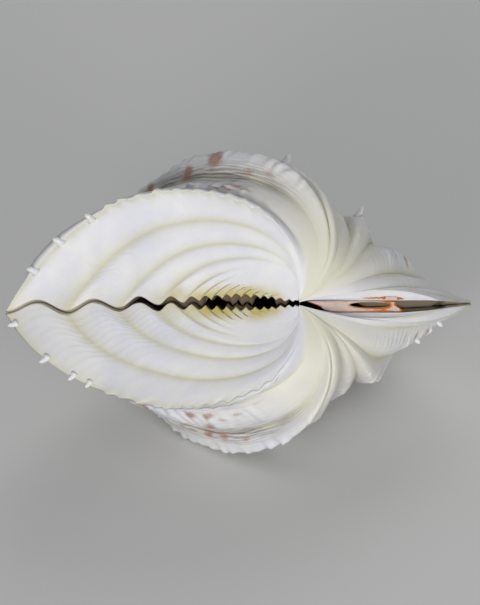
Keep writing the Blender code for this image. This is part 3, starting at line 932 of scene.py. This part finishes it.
def stripPoints():
    # P(u, v) = hole(u) (1 + cos v) / 2 + strip(u) (1 - cos v) / 2, raised by thickness sin v / 2
    form = ligamentForm
    corners = np.array(form["strip"] + form["strip"][:1], float)
    run = runAlong(corners)
    share = np.linspace(0, 1, form["round"], endpoint=False)
    outline = np.stack([np.interp(share * run[-1], run, corners[:, axis]) for axis in (0, 1)], 1)
    for _ in range(2):
        outline = (np.roll(outline, 1, axis=0) + 2 * outline + np.roll(outline, -1, axis=0)) / 4
    middleX, middleY, halfLength, halfWidth = form["hole"]
    turn = 2 * math.pi * share
    hole = np.stack([middleX + halfLength * np.cos(turn), middleY + halfWidth * np.sin(turn)], 1)
    around = 2 * math.pi * np.linspace(0, 1, form["across"], endpoint=False)
    mix = ((1 - np.cos(around)) / 2)[None, :, None]
    flat = hole[:, None] * (1 - mix) + outline[:, None] * mix
    lengths = np.linalg.norm(outline - hole, axis=1)[:, None]
    fromEdge = lengths * np.minimum(mix[:, :, 0], 1 - mix[:, :, 0])
    z = form["hingeSlope"] * flat[:, :, 0] - form["sink"]
    z = z + form["thickness"] / 2 * np.sin(around)[None, :] + form["wave"] * softNoise(flat, 9, 61)
    return np.dstack([flat, z]), fromEdge


def flakePoints(outer):
    # an elongated bead that lies on the nearest points of the valve's outer surface
    form = ligamentForm
    table = np.array(form["flake"], float)
    x = np.linspace(table[0, 0], table[-1, 0], form["flakeRows"])
    y, width = (np.interp(x, table[:, 0], table[:, axis]) for axis in (1, 2))
    width = width * np.sqrt(np.clip(1 - np.linspace(-1, 1, x.size) ** 8, 0.02, 1))
    ground = outer[outer[:, 2] > form["hingeSlope"] * outer[:, 0] - 12]
    away = np.hypot(ground[None, :, 0] - x[:, None], ground[None, :, 1] - y[:, None])
    closest = np.argsort(away, axis=1)[:, :8]
    z = ground[closest, 2].mean(axis=1) + 0.1
    turn = 2 * math.pi * np.linspace(0, 1, form["flakeColumns"], endpoint=False)[:, None]
    side = y + width / 2 * np.cos(turn) + 0.1 * np.sin(3 * x)
    bead = np.dstack([x + 0 * side, side, z + 0.3 * np.sin(turn) + 0 * side])
    return bead, np.abs(np.sin(turn)) * width / 2


def makeLigamentMaterial():
    # Dried ligament: horny protein that bleached to pinkish white in a matt skin and stayed glossy
    # orange brown along its broken edges
    look = ligamentLook
    material = newMaterial("driedLigament")
    place = (addNode(material, "ShaderNodeTexCoord"), "Object")
    edge = (addNode(material, "ShaderNodeAttribute", {"attribute_name": "edge"}), "Fac")
    noise = noiseValue(material, place, 420.0, 4.0, 0.6)
    skin = mixColour(material, noise, linearColour(look["skin"]), linearColour(look["skinShade"]))
    horn = mixColour(material, noise, linearColour(look["horn"]), linearColour(look["paleHorn"]))
    ragged = mathValue(material, "ADD", edge, noise)
    share = rangeValue(material, ragged, 0.66, 1.0, 0.0, 1.0)
    colour = mixColour(material, share, skin, horn)
    rough = rangeValue(material, share, 0.0, 1.0, look["skinRoughness"], look["hornRoughness"])
    bump = addNode(material, "ShaderNodeBump", {"Strength": 0.5, "Distance": 0.2 * mm}, {"Height": noise})
    shader = addNode(
        material, "ShaderNodeBsdfPrincipled", {"IOR": 1.5},
        {"Base Color": colour, "Roughness": rough, "Normal": (bump, 0)},
    )
    addNode(material, "ShaderNodeOutputMaterial", None, {"Surface": (shader, 0)})
    return material


def addLigament():
    form = ligamentForm
    strip, fromEdge = stripPoints()
    columns, rows = strip.shape[:2]
    index = np.arange(columns * rows).reshape(columns, rows)
    nextColumn, nextRow = np.roll(index, -1, axis=0), np.roll(index, -1, axis=1)
    both = np.roll(nextColumn, -1, axis=1)
    stripQuads = np.stack([index, nextRow, both, nextColumn], -1).reshape(-1, 4)
    x = strip[:, :, 0]
    strength = byTable(form["edgeOrange"], x)
    strength = np.where(strip[:, :, 1] < form["lowerFrom"], byTable(form["lowerOrange"], x), strength)
    edges = [(bell(fromEdge, 0, 1.1) * strength).reshape(-1)]

    outer = valveSkin("right")["outer"].reshape(-1, 3)
    flake, flakeEdge = flakePoints(outer)
    first = columns * rows
    last = first + flake.shape[0] * flake.shape[1]
    quads, fans = wrapFaces(flake.shape[0], flake.shape[1], first, (last, last + 1))
    skinStart, skinEnd = form["flakeSkin"]
    orangeEnds = (flake[:, :, 0] < skinStart) + (flake[:, :, 0] > skinEnd)
    edges.append((0.5 * bell(flakeEdge, 0, 0.3) + orangeEnds).clip(0, 1).reshape(-1))
    edges.append(np.ones(2))
    poles = [flake[:, 0].mean(0)[None], flake[:, -1].mean(0)[None]]
    points = np.concatenate([strip.reshape(-1, 3), flake.reshape(-1, 3), *poles])

    mesh = bpy.data.meshes.new("ligamentStrip")
    mesh.from_pydata(toRow(points).tolist(), [], stripQuads.tolist() + quads.tolist() + fans.tolist())
    mesh.update()
    layer = mesh.attributes.new("edge", "FLOAT", "POINT")
    layer.data.foreach_set("value", np.concatenate(edges).astype(np.float32))
    turnOutward(mesh)
    mesh.shade_smooth()
    mesh.materials.append(makeLigamentMaterial())
    piece = bpy.data.objects.new("ligamentStrip", mesh)
    bpy.context.scene.collection.objects.link(piece)
    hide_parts("ligament")
    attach(piece, "root")
    print(f"ligamentStrip: {len(stripQuads) * 2 + len(quads) * 2 + len(fans)} triangles")


addLigament()

# Floor, light and camera

studio = {
    "floorHalf": 3.0,
    "floorColour": "#EFEFEC",
    "worldColour": "#E4E6EA",
    "worldStrength": 0.3,
    "cameraDistance": 2.2,
    "sensorWidth": 36,
    "mmPerPixel": 0.43,
    "photoSize": (480, 605),
    "beakPixel": (298, 303.5),
    # place, size and power of each light; all look at the shell's middle
    "key": ((-0.45, -1.6, 0.4), 0.5, 10.5),
    "fill": ((0.8, -1.6, 0.35), 0.5, 7.5),
    "back": ((0.5, 1.7, 1.2), 1.2, 8.0),
    "aim": (0, 0, 0.06),
}


def addFloor():
    # a sheet of pale board, painted matt, so it has no highlights beside the shell
    mesh = bpy.data.meshes.new("floor")
    half = studio["floorHalf"]
    corners = [(-half, -half, 0), (half, -half, 0), (half, half, 0), (-half, half, 0)]
    mesh.from_pydata(corners, [], [(0, 1, 2, 3)])
    material = newMaterial("paleFloor")
    colour = linearColour(studio["floorColour"])
    shader = addNode(material, "ShaderNodeBsdfPrincipled", {"Base Color": colour, "Roughness": 0.8})
    addNode(material, "ShaderNodeOutputMaterial", None, {"Surface": (shader, 0)})
    mesh.materials.append(material)
    floor = bpy.data.objects.new("floor", mesh)
    bpy.context.scene.collection.objects.link(floor)


def addLight(name):
    place, size, power = studio[name]
    data = bpy.data.lights.new(name, "AREA")
    data.size = size
    data.energy = power
    light = bpy.data.objects.new(name, data)
    bpy.context.scene.collection.objects.link(light)
    light.location = place
    light.rotation_euler = (Vector(studio["aim"]) - Vector(place)).to_track_quat("-Z", "Y").to_euler()


def addCamera():
    # looks straight down the shell's back, with its hinge line level, at the photograph's scale
    turn = poseTurn.to_matrix()
    width, height = studio["photoSize"]
    beakX, beakY = studio["beakPixel"]
    aside = Vector(((width / 2 - beakX), (beakY - height / 2), 0)) * studio["mmPerPixel"] * mm
    beak = Vector(restingPose["beakPlace"]) * mm
    data = bpy.data.cameras.new("camera")
    data.sensor_fit = "HORIZONTAL"
    data.sensor_width = studio["sensorWidth"]
    data.lens = studio["sensorWidth"] * studio["cameraDistance"] / (width * studio["mmPerPixel"] * mm)
    data.clip_end = 20
    camera = bpy.data.objects.new("camera", data)
    bpy.context.scene.collection.objects.link(camera)
    place = beak + turn @ (aside + Vector((0, 0, studio["cameraDistance"])))
    camera.matrix_world = Matrix.Translation(place) @ turn.to_4x4()
    bpy.context.scene.camera = camera


addFloor()
for lightName in ("key", "fill", "back"):
    addLight(lightName)
addCamera()
world = bpy.data.worlds.new("studio")
world.use_nodes = True
background = world.node_tree.nodes["Background"]
background.inputs["Color"].default_value = linearColour(studio["worldColour"])
background.inputs["Strength"].default_value = studio["worldStrength"]
bpy.context.scene.world = world
bpy.context.scene.view_settings.view_transform = "Standard"
print("stage set")
